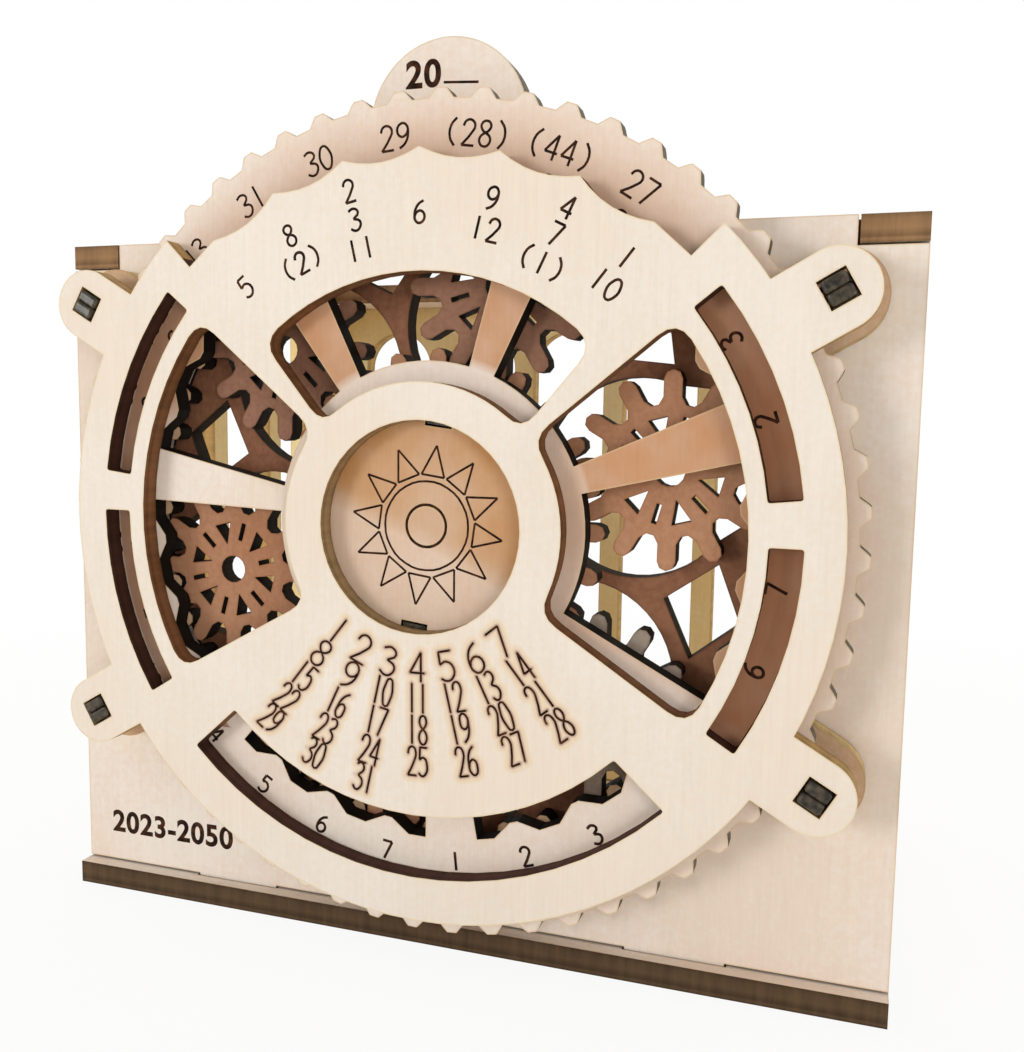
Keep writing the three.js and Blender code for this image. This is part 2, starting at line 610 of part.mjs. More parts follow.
function topPlate() {
  const half = BOX_WIDTH / 2;
  const front = PANEL_Y + BOX_PLY + FIT_GAP;
  const back = BACK_Y - BOX_PLY - FIT_GAP;
  const low = BOX_HEIGHT - BOX_PLY;
  let solid = block(-half, half, front, back, low, BOX_HEIGHT);
  for (const side of [-1, 1]) {
    const inner = side * (half - CORNER_TAB);
    const outer = side * half;
    solid = solid.add(block(Math.min(inner, outer), Math.max(inner, outer), PANEL_Y, BACK_Y, low, BOX_HEIGHT));
  }
  const pen = sideOuter - BOX_PLY - PEN_MARGIN / 2;
  const margin = PEN_MARGIN;
  solid = solid.subtract(block(-pen, pen, front + margin, back - margin, low - OVERRUN, BOX_HEIGHT + OVERRUN));
  return cutForSides(solid, low - OVERRUN, BOX_HEIGHT + OVERRUN);
}

function sideWall(side) {
  const outer = side * sideOuter;
  const inner = side * (sideOuter - BOX_PLY);
  const x0 = Math.min(inner, outer);
  const x1 = Math.max(inner, outer);
  const front = PANEL_Y + BOX_PLY + FIT_GAP;
  const back = BACK_Y - BOX_PLY - FIT_GAP;
  const low = BOX_PLY + FIT_GAP;
  const high = BOX_HEIGHT - BOX_PLY - FIT_GAP;
  let solid = block(x0, x1, front, back, low, high);
  for (const y of sideTabs())
    solid = solid.add(block(x0, x1, y - TAB_LENGTH / 2, y + TAB_LENGTH / 2, 0, BOX_HEIGHT));
  for (const slot of wallSlots(SIDE_WALL_SPAN)) {
    const through = cutter(slot, x0, BOX_PLY).rotate([0, 0, -90]).translate([0, (front + back) / 2, 0]);
    solid = solid.subtract(through);
  }
  return solid;
}

// Assembly

const basswood = (color) => new THREE.MeshStandardMaterial({ color, roughness: 0.75, metalness: 0 });
const PALE = 0xf0e0cc;
const SHADED = 0xc89a74;
const BURNT = 0x4a3527;

const calendar = new THREE.Group();
const box = new THREE.Group();
const dial = new THREE.Group();
dial.position.z = DIAL_HEIGHT;
calendar.add(box, dial);
calendar.position.y = -(FRONT_Y - PEG_PROUD + BACK_Y) / 2;

function piece(group, name, solid, color) {
  const mesh = new THREE.Mesh(geometryOf(solid), basswood(color));
  mesh.name = name;
  group.add(mesh);
  return mesh;
}

piece(box, "base_plate", basePlate(), PALE);
piece(box, "front_panel", frontPanel(), PALE);
piece(box, "rear_panel", rearPanel(), PALE);
piece(box, "left_side", sideWall(-1), PALE);
piece(box, "right_side", sideWall(1), PALE);
piece(box, "top_plate", topPlate(), PALE);

piece(dial, "front_plate", frontPlate(), PALE);
piece(dial, "ring_gear_plate", ringGearPlate(), SHADED);
PEG_NAMES.forEach((name, i) => {
  const angle = PEG_SHARES[i] * TURN;
  piece(dial, "peg_" + name + "_a", pegPly(angle, 1), BURNT);
  piece(dial, "peg_" + name + "_b", pegPly(angle, -1), BURNT);
});

piece(dial, "calendar_wheel", calendarWheel(), PALE);
piece(dial, "sun_gear", sunGear(), SHADED);
piece(dial, "central_axle", board(disc(AXLE_RADIUS, SMALL_SIDES * 2), 0, CAP_Y + DIAL_PLY), SHADED);
piece(dial, "axle_retainer", axleRetainer(), PALE);
keyAngles().forEach((angle, i) => {
  piece(dial, i ? "key_lower" : "key_upper", board(keyHole(angle, 0), 0, GEAR_Y + DIAL_PLY), BURNT);
});

piece(dial, "planet_carrier", planetCarrier(), SHADED);
for (let i = 0; i < PLANETS; i++) {
  const angle = (PLANET_SHARE + i / PLANETS) * TURN;
  const place = polar(PLANET_CIRCLE, angle);
  const planet = piece(dial, "planet_gear_" + (i + 1), planetGear(), SHADED);
  planet.position.set(place.x, 0, place.y);
  planet.rotation.y = -angle;
}

export default calendar;
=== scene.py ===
# %% [markdown]
# A perpetual desk calendar. It is cut by laser from thin basswood plywood. A toothed wheel with the
# years and the weekdays turns behind a fixed plate with the months and the dates, and its sun gear
# drives six planets and their carrier. The solids already have the right shapes, so this notebook
# gives them their wood, their burnt edges and their engraving, and lights them.

# %% Load the solids
import json
import math

import bmesh
import bpy
from mathutils import Matrix, Vector


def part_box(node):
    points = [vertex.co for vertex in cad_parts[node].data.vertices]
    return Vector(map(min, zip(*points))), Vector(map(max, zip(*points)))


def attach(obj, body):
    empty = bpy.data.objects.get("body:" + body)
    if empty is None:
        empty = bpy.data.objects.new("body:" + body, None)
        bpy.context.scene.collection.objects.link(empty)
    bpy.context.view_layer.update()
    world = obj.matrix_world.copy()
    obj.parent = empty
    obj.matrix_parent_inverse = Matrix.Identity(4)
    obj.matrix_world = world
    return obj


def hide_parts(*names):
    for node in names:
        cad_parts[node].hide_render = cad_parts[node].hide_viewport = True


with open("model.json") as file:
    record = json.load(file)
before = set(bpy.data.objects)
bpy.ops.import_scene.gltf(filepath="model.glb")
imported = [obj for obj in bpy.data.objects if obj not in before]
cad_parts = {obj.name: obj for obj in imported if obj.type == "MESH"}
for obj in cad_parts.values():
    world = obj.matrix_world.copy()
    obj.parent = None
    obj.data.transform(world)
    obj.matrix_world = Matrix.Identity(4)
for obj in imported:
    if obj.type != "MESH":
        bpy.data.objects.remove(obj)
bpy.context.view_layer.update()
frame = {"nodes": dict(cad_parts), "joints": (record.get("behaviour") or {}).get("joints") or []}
MM = 0.001

# %% [markdown]
# Everything on the dial is drawn round one centre. The turning joint gives it, and the front faces
# of the plates give the depths on which the engraving lies.

# %% The dial's centre and the faces
dial_joint = next(j for j in frame["joints"] if j["name"] == "dial_turn")
wheel_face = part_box("calendar_wheel")[0].y
plate_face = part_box("front_plate")[0].y
panel_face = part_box("front_panel")[0].y
centre = Vector((dial_joint["pos_m"][0], wheel_face, dial_joint["pos_m"][2]))
print("dial centre in mm:", [round(v / MM, 2) for v in centre])

# %% [markdown]
# The camera comes first, because every later choice is judged through it. Its place was worked out
# from the photograph: it stands a little to the right and above the dial's centre and looks down by
# six degrees. The photograph was taken close up, so the lens is short: its length equals the height
# of the sensor.

# %% Camera
CAMERA_PLACE = (48.3, -114.5, 13.3)  # from the dial's centre, in millimetres
SENSOR_HEIGHT = 24
yaw, pitch, roll = math.radians(18.18), math.radians(6.06), math.radians(0.89)
ahead = Vector(
    (-math.sin(yaw) * math.cos(pitch), math.cos(yaw) * math.cos(pitch), -math.sin(pitch))
)
level = Vector((math.cos(yaw), math.sin(yaw), 0))
above = level.cross(ahead)
right = level * math.cos(roll) + above * math.sin(roll)
up = above * math.cos(roll) - level * math.sin(roll)
camera_data = bpy.data.cameras.new("camera")
camera_data.sensor_fit = "VERTICAL"
camera_data.sensor_height = SENSOR_HEIGHT
camera_data.lens = SENSOR_HEIGHT
camera_data.clip_start = 0.005
camera = bpy.data.objects.new("camera", camera_data)
bpy.context.scene.collection.objects.link(camera)
turn = Matrix((right, up, -ahead)).transposed().to_4x4()
camera.matrix_world = Matrix.Translation(centre + Vector(CAMERA_PLACE) * MM) @ turn
bpy.context.scene.camera = camera
print("camera in mm:", [round(v / MM, 1) for v in camera.matrix_world.translation])

# %% [markdown]
# Colours are written as they look on a screen, in hex. Blender mixes light in linear values, so one
# function turns them. A second small function adds a shader node with its settings and links, and
# with the stops of its colour ramp where it has one. A Mix node of colours takes its share at socket
# 0 and its colours at sockets 6 and 7, and gives the mixture at output 2.

# %% Colour and node helpers


def tone(code):
    """A screen colour such as F0E2D2 as linear red, green, blue and a full alpha."""
    parts = [int(code[i : i + 2], 16) / 255 for i in (0, 2, 4)]
    return [v / 12.92 if v <= 0.04045 else ((v + 0.055) / 1.055) ** 2.4 for v in parts] + [1]


def add_node(tree, kind, values=None, links=None, stops=None, **settings):
    """A node of that kind; values fill its sockets, links join other sockets to them."""
    node = tree.nodes.new(kind)
    for key, value in settings.items():
        setattr(node, key, value)
    for key, value in (values or {}).items():
        node.inputs[key].default_value = value
    for key, socket in (links or {}).items():
        tree.links.new(socket, node.inputs[key])
    for position, colour in stops or ():
        ramp = node.color_ramp.elements
        stop = ramp.new(position) if 0 < position < 1 else ramp[-1 if position else 0]
        stop.color = colour
    return node


print("white is", tone("FFFFFF"))

# %% [markdown]
# The photograph's plate is bright and flat, and the dial throws no shadow on the panel at its lower
# left. So the main soft box stands in front and to the left, and a weaker one fills in from the
# right, each about a metre away.

# %% Soft boxes
SOFT_BOX_SIZE = 0.3


def soft_box(name, place, power):
    """A square lamp that looks at the dial; its place is measured from the dial's centre."""
    lamp = bpy.data.lights.new(name, "AREA")
    lamp.energy = power
    lamp.size = SOFT_BOX_SIZE
    holder = bpy.data.objects.new(name, lamp)
    bpy.context.scene.collection.objects.link(holder)
    holder.location = centre + Vector(place)
    holder.rotation_euler = (centre - holder.location).to_track_quat("-Z", "Y").to_euler()
    print(name, "in watts:", power)


soft_box("soft_key", (-0.6, -0.8, 0.12), 2.9)
soft_box("right_fill", (0.6, -0.8, 0.12), 1.9)

# %% [markdown]
# The room itself is warm, dimmer in front and bright behind, which lets the inside of the box glow.
# Only the camera sees it as white, as the photograph's background is.

# %% Room
DIM_FRONT, BRIGHT_BACK = 0.45, 1.0
WHITE = tone("FFFFFF")
world = bpy.data.worlds.new("warm_room")
bpy.context.scene.world = world
world.use_nodes = True
tree = world.node_tree
tree.nodes.clear()
rays = add_node(tree, "ShaderNodeLightPath")
towards = add_node(tree, "ShaderNodeTexCoord")
parts = add_node(tree, "ShaderNodeSeparateXYZ", links={0: towards.outputs["Generated"]})
behind = add_node(
    tree,
    "ShaderNodeMapRange",
    {"From Min": -0.5, "From Max": 0.3, "To Min": DIM_FRONT, "To Max": BRIGHT_BACK},
    {"Value": parts.outputs["Y"]},
)
room = add_node(
    tree, "ShaderNodeBackground", {"Color": tone("FFFAF2")}, {"Strength": behind.outputs[0]}
)
white = add_node(tree, "ShaderNodeBackground", {"Color": WHITE, "Strength": 1.0})
sky = add_node(
    tree,
    "ShaderNodeMixShader",
    links={0: rays.outputs["Is Camera Ray"], 1: room.outputs[0], 2: white.outputs[0]},
)
add_node(tree, "ShaderNodeOutputWorld", links={"Surface": sky.outputs[0]})
bpy.context.scene.view_settings.view_transform = "Standard"
print("room:", DIM_FRONT, "in front,", BRIGHT_BACK, "behind")

# %% [markdown]
# The object stands on matt white paper. The camera sees the paper mostly as plain white light, like
# the background, and a little of the lit paper comes through near the object, so that a soft shadow
# shows where it touches.

# %% Floor
FLOOR_SIZE = 6
FLOOR_DROP = 0.1 * MM
SHADOW_NEAR, SHADOW_FAR = 0.06, 0.26
NEAR_GLOW = 0.92
bpy.ops.mesh.primitive_plane_add(size=FLOOR_SIZE, location=(0, 0, -FLOOR_DROP))
floor = bpy.context.object
floor.name = "floor"
paper = bpy.data.materials.new("white_paper_floor")
paper.use_nodes = True
tree = paper.node_tree
tree.nodes.clear()
rays = add_node(tree, "ShaderNodeLightPath")
matt = add_node(tree, "ShaderNodeBsdfDiffuse", {"Color": tone("F6F4F1")})
glow = add_node(tree, "ShaderNodeEmission", {"Color": WHITE, "Strength": 1.0})
ground = add_node(tree, "ShaderNodeTexCoord")
away = add_node(
    tree, "ShaderNodeVectorMath", links={0: ground.outputs["Object"]}, operation="LENGTH"
)
open_floor = add_node(
    tree,
    "ShaderNodeMapRange",
    {"From Min": SHADOW_NEAR, "From Max": SHADOW_FAR, "To Min": NEAR_GLOW, "To Max": 1.0},
    {"Value": away.outputs["Value"]},
)
share = add_node(
    tree,
    "ShaderNodeMath",
    links={0: rays.outputs["Is Camera Ray"], 1: open_floor.outputs[0]},
    operation="MULTIPLY",
)
mixed = add_node(
    tree,
    "ShaderNodeMixShader",
    links={0: share.outputs[0], 1: matt.outputs[0], 2: glow.outputs[0]},
)
add_node(tree, "ShaderNodeOutputMaterial", links={"Surface": mixed.outputs[0]})
floor.data.materials.append(paper)
print("floor in metres:", FLOOR_SIZE)

# %% [markdown]
# Basswood plywood is three thin sheets of pale wood glued together. Its face is cream, with faint
# upright fibres, broad soft patches of a warmer tone, and a fine mottling of pores.
# Noise makes all three, and its scale comes from their real size. Stretched noise gives the fibres,
# and plain noise blends two tones for the rest.

# %% Wood of a face
FIBRES_PER_MM = 2.6  # a fibre is about 0.4 mm wide
FIBRE_LENGTHS_PER_MM = 0.13  # and about 8 mm long
PATCHES_PER_MM = 0.035
PORES_PER_MM = 1.3


def wood_grain(tree, millimetres, flat):
    """Fibres that stand upright, or run across on a board that lies flat."""
    fibre = [FIBRES_PER_MM] * 3
    fibre[2 if flat != "Z" else 0] = FIBRE_LENGTHS_PER_MM
    stretched = add_node(tree, "ShaderNodeMapping", {"Scale": fibre}, {"Vector": millimetres})
    return add_node(
        tree,
        "ShaderNodeTexNoise",
        {"Scale": 1.0, "Detail": 4.0, "Roughness": 0.62, "Distortion": 0.5},
        {"Vector": stretched.outputs[0]},
    ).outputs["Fac"]


def sanded_wood(tree, millimetres, face, patch):
    """The colour of the sheet, from its main tone to that of its patches and pores."""
    broad = add_node(
        tree,
        "ShaderNodeTexNoise",
        {"Scale": PATCHES_PER_MM, "Detail": 3.0, "Roughness": 0.55},
        {"Vector": millimetres},
    )
    patchy = add_node(
        tree, "ShaderNodeMapRange", {"From Min": 0.36, "From Max": 0.66}, {"Value": broad.outputs["Fac"]}
    )
    pores = add_node(
        tree,
        "ShaderNodeTexNoise",
        {"Scale": PORES_PER_MM, "Detail": 3.0, "Roughness": 0.6},
        {"Vector": millimetres},
    )
    mottled = add_node(
        tree,
        "ShaderNodeMapRange",
        {"From Min": 0.3, "From Max": 0.7, "To Min": -0.35, "To Max": 0.45},
        {"Value": pores.outputs["Fac"]},
    )
    mixed = add_node(
        tree,
        "ShaderNodeMath",
        links={0: patchy.outputs[0], 1: mottled.outputs[0]},
        operation="ADD",
        use_clamp=True,
    )
    return add_node(
        tree,
        "ShaderNodeMix",
        {6: tone(face), 7: tone(patch)},
        {0: mixed.outputs[0]},
        data_type="RGBA",
    ).outputs[2]


print("fibres in mm:", round(1 / FIBRES_PER_MM, 2), "by", round(1 / FIBRE_LENGTHS_PER_MM, 1))

# %% [markdown]
# Shade is painted brown onto the wheel's face where it lies deep behind the plate's windows and slots. It
# lies in rings round the dial's centre. So each kind of painted shade has a table of radius and strength,
# which a colour ramp reads, and a few more shares say on which side it lies: the lower left gets none.
# The shares are then multiplied, or the larger of two is taken.

# %% Painted shade on the wheel
DIAL_RADIUS = 50
SHADE_RINGS = {
    "windows": ((0, 0.7), (12.5, 1), (14.5, 0.12), (19.3, 0.12), (20.5, 1), (39, 1), (50, 0)),
    "slots": ((0, 0), (38.5, 0), (38.75, 1), (43.4, 1), (43.6, 0), (50, 0)),
    "hub": ((0, 0.42), (12.5, 0.42), (14.5, 0), (50, 0)),
    "hub_ring": ((0, 0), (14.5, 0), (15, 0.6), (20, 0.6), (21, 0), (50, 0)),
    "spokes": ((0, 0), (15, 0), (18, 1), (50, 1)),
}
# Each row names a share, how it is made, and the two shares that it is made from
SHADE_SUMS = (
    ("windows", "MULTIPLY", "windows", "upper"),
    ("hub_ring", "MULTIPLY", "hub_ring", "far_right"),
    ("hub", "MAXIMUM", "hub", "hub_ring"),
    ("middle", "MAXIMUM", "windows", "hub"),
    ("middle", "MULTIPLY", "middle", "uneven"),
    ("slots", "MULTIPLY", "slots", "beside"),
    ("slots", "MULTIPLY", "slots", "uneven"),
)
SLOT_REACH = 27.5  # the side slots end this far above and below the centre
CLOUDS_PER_MM = 0.18
# The tones of the painted shade: on the hub and the spokes, and in the left and the right slots
HUB_SHADE, SPOKE_SHADE = "C8925A", "CE9A72"
LEFT_SLOT_SHADE, RIGHT_SLOT_SHADE = "B08468", "B47C5A"
print("smoke rings:", ", ".join(SHADE_RINGS))

# %% [markdown]
# The shares that say on which side the painted shade lies come from the place on the face, measured from
# the dial's centre. Smooth changes from one side to the other keep the painted shade soft.

# %% Where the painted shade lies


def smoke_shares(tree, place, radius):
    """For each kind of painted shade, how strongly it darkens each place of the wheel's face."""
    reach = add_node(tree, "ShaderNodeMapRange", {"From Max": DIAL_RADIUS * MM}, {"Value": radius})
    share = {}
    for ring, rows in SHADE_RINGS.items():
        stops = [(r / DIAL_RADIUS, (strength, strength, strength, 1)) for r, strength in rows]
        band = add_node(tree, "ShaderNodeValToRGB", links={"Fac": reach.outputs[0]}, stops=stops)
        share[ring] = band.outputs["Color"]
    from_centre = add_node(
        tree, "ShaderNodeVectorMath", {1: tuple(centre)}, {0: place}, operation="SUBTRACT"
    ).outputs[0]
    slant = add_node(
        tree, "ShaderNodeVectorMath", {1: (0.4, 0, 0.92)}, {0: from_centre}, operation="DOT_PRODUCT"
    )
    share["upper"] = add_node(
        tree,
        "ShaderNodeMapRange",
        {"From Min": -6 * MM, "From Max": 0.5 * MM},
        {"Value": slant.outputs["Value"]},
        interpolation_type="SMOOTHSTEP",
    ).outputs[0]
    cloud = add_node(
        tree, "ShaderNodeTexNoise", {"Scale": CLOUDS_PER_MM / MM, "Detail": 3.0}, {"Vector": place}
    )
    share["uneven"] = add_node(
        tree,
        "ShaderNodeMapRange",
        {"From Min": 0.3, "From Max": 0.7, "To Min": 0.8, "To Max": 1.0},
        {"Value": cloud.outputs["Fac"]},
    ).outputs[0]
    parts = add_node(tree, "ShaderNodeSeparateXYZ", links={0: from_centre})
    level = add_node(tree, "ShaderNodeMath", links={0: parts.outputs["Z"]}, operation="ABSOLUTE")
    share["beside"] = add_node(
        tree, "ShaderNodeMath", {1: SLOT_REACH * MM}, {0: level.outputs[0]}, operation="LESS_THAN"
    ).outputs[0]
    for side, start, end in (("right", -5, 5), ("far_right", 11, 18)):
        share[side] = add_node(
            tree,
            "ShaderNodeMapRange",
            {"From Min": start * MM, "From Max": end * MM},
            {"Value": parts.outputs["X"]},
        ).outputs[0]
    for made, way, first, second in SHADE_SUMS:
        pair = {0: share[first], 1: share[second]}
        share[made] = add_node(tree, "ShaderNodeMath", links=pair, operation=way).outputs[0]
    return share


# %% [markdown]
# The painted shade is pinkish on the spokes, more golden on the hub, and darkest in the narrow slots at
# the sides, which lie deepest in shade. So the clean wood is mixed twice: first towards the painted shade
# of the windows, and then towards that of the slots.

# %% Wood with painted shade


def smoked_wood(tree, place, radius, clean):
    """The colour of the wheel's face: clean wood, darkened by painted shade."""
    share = smoke_shares(tree, place, radius)
    shade_tones = []
    for first, second, amount in (
        (HUB_SHADE, SPOKE_SHADE, "spokes"),
        (LEFT_SLOT_SHADE, RIGHT_SLOT_SHADE, "right"),
    ):
        pair = {6: tone(first), 7: tone(second)}
        mixed = add_node(tree, "ShaderNodeMix", pair, {0: share[amount]}, data_type="RGBA")
        shade_tones.append(mixed.outputs[2])
    wood = clean
    for amount, brown in zip(("middle", "slots"), shade_tones):
        mixed = {0: share[amount], 6: wood, 7: brown}
        wood = add_node(tree, "ShaderNodeMix", links=mixed, data_type="RGBA").outputs[2]
    return wood


# %% [markdown]
# The laser burns every cut, and its walls turn tan to nearly black. Each board has a table of tones by
# radius, darker where the walls lie deep in the slots and behind the plates: burnt char and painted shade.
# Soot runs in streaks across the thickness, and the glue lines between the sheets are darker.

# %% Burnt walls of a cut
WALL_REACH = 60
STREAKS_PER_MM = 0.8
STREAK_LENGTHS_PER_MM = 0.1
GLUE_LINES = ((0.0, 0.75), (0.12, 0.35), (0.22, 0.75), (0.5, 0.35), (0.8, 0.5), (1.0, 0.8))


def burnt_wall(tree, place, millimetres, radius, node, flat, walls):
    """The colour of a board's cut walls; walls is a table of radius in millimetres and tone."""
    low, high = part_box(node)
    index = "XYZ".index(flat)
    streaks = [STREAKS_PER_MM] * 3
    streaks[index] = STREAK_LENGTHS_PER_MM
    stretched = add_node(tree, "ShaderNodeMapping", {"Scale": streaks}, {"Vector": millimetres})
    soot = add_node(
        tree,
        "ShaderNodeTexNoise",
        {"Scale": 1.0, "Detail": 4.0, "Roughness": 0.6},
        {"Vector": stretched.outputs[0]},
    )
    parts = add_node(tree, "ShaderNodeSeparateXYZ", links={0: place})
    depth = add_node(
        tree,
        "ShaderNodeMapRange",
        {"From Min": low[index], "From Max": high[index]},
        {"Value": parts.outputs[index]},
    )
    stops = [(share, (dark, dark, dark, 1)) for share, dark in GLUE_LINES]
    layers = add_node(tree, "ShaderNodeValToRGB", links={"Fac": depth.outputs[0]}, stops=stops)
    burn = add_node(
        tree,
        "ShaderNodeMath",
        links={0: soot.outputs["Fac"], 1: layers.outputs["Color"]},
        operation="ADD",
    )
    charred = add_node(
        tree,
        "ShaderNodeMapRange",
        {"From Min": 0.75, "From Max": 1.35, "To Min": 1.05, "To Max": 0.5},
        {"Value": burn.outputs[0]},
    )
    reach = add_node(tree, "ShaderNodeMapRange", {"From Max": WALL_REACH * MM}, {"Value": radius})
    stops = [(r / WALL_REACH, tone(code)) for r, code in walls] + [(1, tone(walls[-1][1]))]
    bands = add_node(tree, "ShaderNodeValToRGB", links={"Fac": reach.outputs[0]}, stops=stops)
    bands.color_ramp.interpolation = "CONSTANT"
    return add_node(
        tree,
        "ShaderNodeVectorMath",
        links={0: bands.outputs["Color"], "Scale": charred.outputs[0]},
        operation="SCALE",
    ).outputs[0]


print("glue lines at", [share for share, dark in GLUE_LINES if dark > 0.7], "of the thickness")

# %% [markdown]
# A thin yellow band runs along each edge of a face: laser scorch where the beam went in, and on the pale
# boards a painted highlight where the rounded edge catches light. A Bevel node gives the normal that a
# rounded edge would have, and how far it leans away from the flat one tells how near the edge is. On the
# films that stain the wood round the dates, a point attribute says it instead.

# %% Scorched and highlighted edge of a face
EDGE_BAND_WIDTH = 0.45


def scorched_face(tree, wood, edge, halo):
    """The colour of a face, yellowed towards its edges by scorch and a painted highlight, or browned by a
    halo.
    """
    if halo:
        near = add_node(tree, "ShaderNodeAttribute", attribute_name="closeness").outputs["Fac"]
    else:
        solid = add_node(tree, "ShaderNodeNewGeometry")
        rounded = add_node(tree, "ShaderNodeBevel", {"Radius": EDGE_BAND_WIDTH * MM}, samples=6)
        lean = add_node(
            tree,
            "ShaderNodeVectorMath",
            links={0: rounded.outputs[0], 1: solid.outputs["True Normal"]},
            operation="DOT_PRODUCT",
        )
        near = add_node(
            tree,
            "ShaderNodeMapRange",
            {"From Min": 0.995, "From Max": 0.8},
            {"Value": lean.outputs["Value"]},
        ).outputs[0]
    # Towards its edges the face is mixed to the edge tone: laser scorch, and on the pale boards a painted
    # highlight
    return add_node(
        tree, "ShaderNodeMix", {7: tone(halo or edge)}, {0: near, 6: wood}, data_type="RGBA"
    ).outputs[2]


print("scorch in mm:", EDGE_BAND_WIDTH)

# %% [markdown]
# Now one recipe can dress any board. It lays the face and the walls side by side, and the direction
# of the normal tells which of them a place is on. Bare sanded wood is dull, and its fibres stand up
# by a few hundredths of a millimetre, so the grain also drives the roughness and a weak bump.

# %% Plywood


def plywood(name, node, flat, face, patch, edge, walls, painted_shade=False, halo=None):
    """Laser-cut plywood for a board whose faces look along the axis flat."""
    material = bpy.data.materials.new(name)
    material.use_nodes = True
    tree = material.node_tree
    tree.nodes.clear()
    texture = add_node(tree, "ShaderNodeTexCoord")
    place = texture.outputs["Object"]
    millimetres = add_node(
        tree, "ShaderNodeVectorMath", {1: (1 / MM,) * 3}, {0: place}, operation="MULTIPLY"
    ).outputs[0]
    in_plane = add_node(
        tree, "ShaderNodeVectorMath", {1: (1, 0, 1)}, {0: place}, operation="MULTIPLY"
    ).outputs[0]
    radius = add_node(
        tree,
        "ShaderNodeVectorMath",
        {1: (centre.x, 0, centre.z)},
        {0: in_plane},
        operation="DISTANCE",
    ).outputs["Value"]
    grain = wood_grain(tree, millimetres, flat)
    wood = sanded_wood(tree, millimetres, face, patch)
    # Painted shade where the face lies deep behind the plate's windows and slots
    if painted_shade:
        wood = smoked_wood(tree, place, radius, wood)
    faint = add_node(
        tree,
        "ShaderNodeMapRange",
        {"From Min": 0.3, "From Max": 0.75, "To Min": 1.01, "To Max": 0.95},
        {"Value": grain},
    )
    grained = add_node(
        tree, "ShaderNodeVectorMath", links={0: wood, "Scale": faint.outputs[0]}, operation="SCALE"
    )
    faced = scorched_face(tree, grained.outputs[0], edge, halo)
    wall = faced if halo else burnt_wall(tree, place, millimetres, radius, node, flat, walls)
    normal = add_node(tree, "ShaderNodeSeparateXYZ", links={0: texture.outputs["Normal"]})
    facing = add_node(
        tree, "ShaderNodeMath", links={0: normal.outputs["XYZ".index(flat)]}, operation="ABSOLUTE"
    )
    is_face = add_node(
        tree, "ShaderNodeMapRange", {"From Min": 0.55, "From Max": 0.85}, {"Value": facing.outputs[0]}
    )
    rough = add_node(
        tree,
        "ShaderNodeMapRange",
        {"From Min": 0.3, "From Max": 0.7, "To Min": 0.66, "To Max": 0.8},
        {"Value": grain},
    )
    relief = add_node(
        tree, "ShaderNodeBump", {"Strength": 0.07, "Distance": 0.05 * MM}, {"Height": grain}
    )
    if halo:
        # A stain is a thin film with round sides, so it takes its colour and its light as a face
        flush = add_node(tree, "ShaderNodeCombineXYZ", {"Y": -1.0})
        tree.links.new(flush.outputs[0], relief.inputs["Normal"])
    colour = add_node(
        tree, "ShaderNodeMix", links={0: is_face.outputs[0], 6: wall, 7: faced}, data_type="RGBA"
    )
    shader = add_node(
        tree,
        "ShaderNodeBsdfPrincipled",
        {"IOR": 1.45, "Specular IOR Level": 0.2},
        {
            "Base Color": colour.outputs[2],
            "Roughness": rough.outputs[0],
            "Normal": relief.outputs[0],
        },
    )
    add_node(tree, "ShaderNodeOutputMaterial", links={"Surface": shader.outputs[0]})
    return material


# %% [markdown]
# Each board gets the recipe with its own tones. The front plate and the wheel are pale. The boards
# behind them look browner, partly from the laser's smoke and partly from painted shade, and the inside of
# the box is yellower. Around the gears all walls are near black, from burnt char and painted shade. Two
# planets are painted darker and one greyer, as painted shade, and painted shade lies on the wheel's face
# where windows and slots leave it open.

# %% Finish the boards
PALE = {
    "face": "F4ECE2",
    "patch": "F2E5D6",
    "edge": "E8D3A8",
    # The walls are darker in the slots than at the rim: burnt char and painted shade
    "walls": ((0, "A88C66"), (15, "8C5F3E"), (38.5, "53352A"), (44.3, "C4A06A")),
}
PINK = {"face": "F7EDE3", "patch": "F2E1D2", "edge": "DDC096", "walls": ((0, "94724C"),)}
# The wheel's walls are near black inside the plate and lighter on its teeth: burnt char and painted shade
CHARRED_AND_SHADED_WALLS = ((0, "1C1713"), (39, "7A7468"))
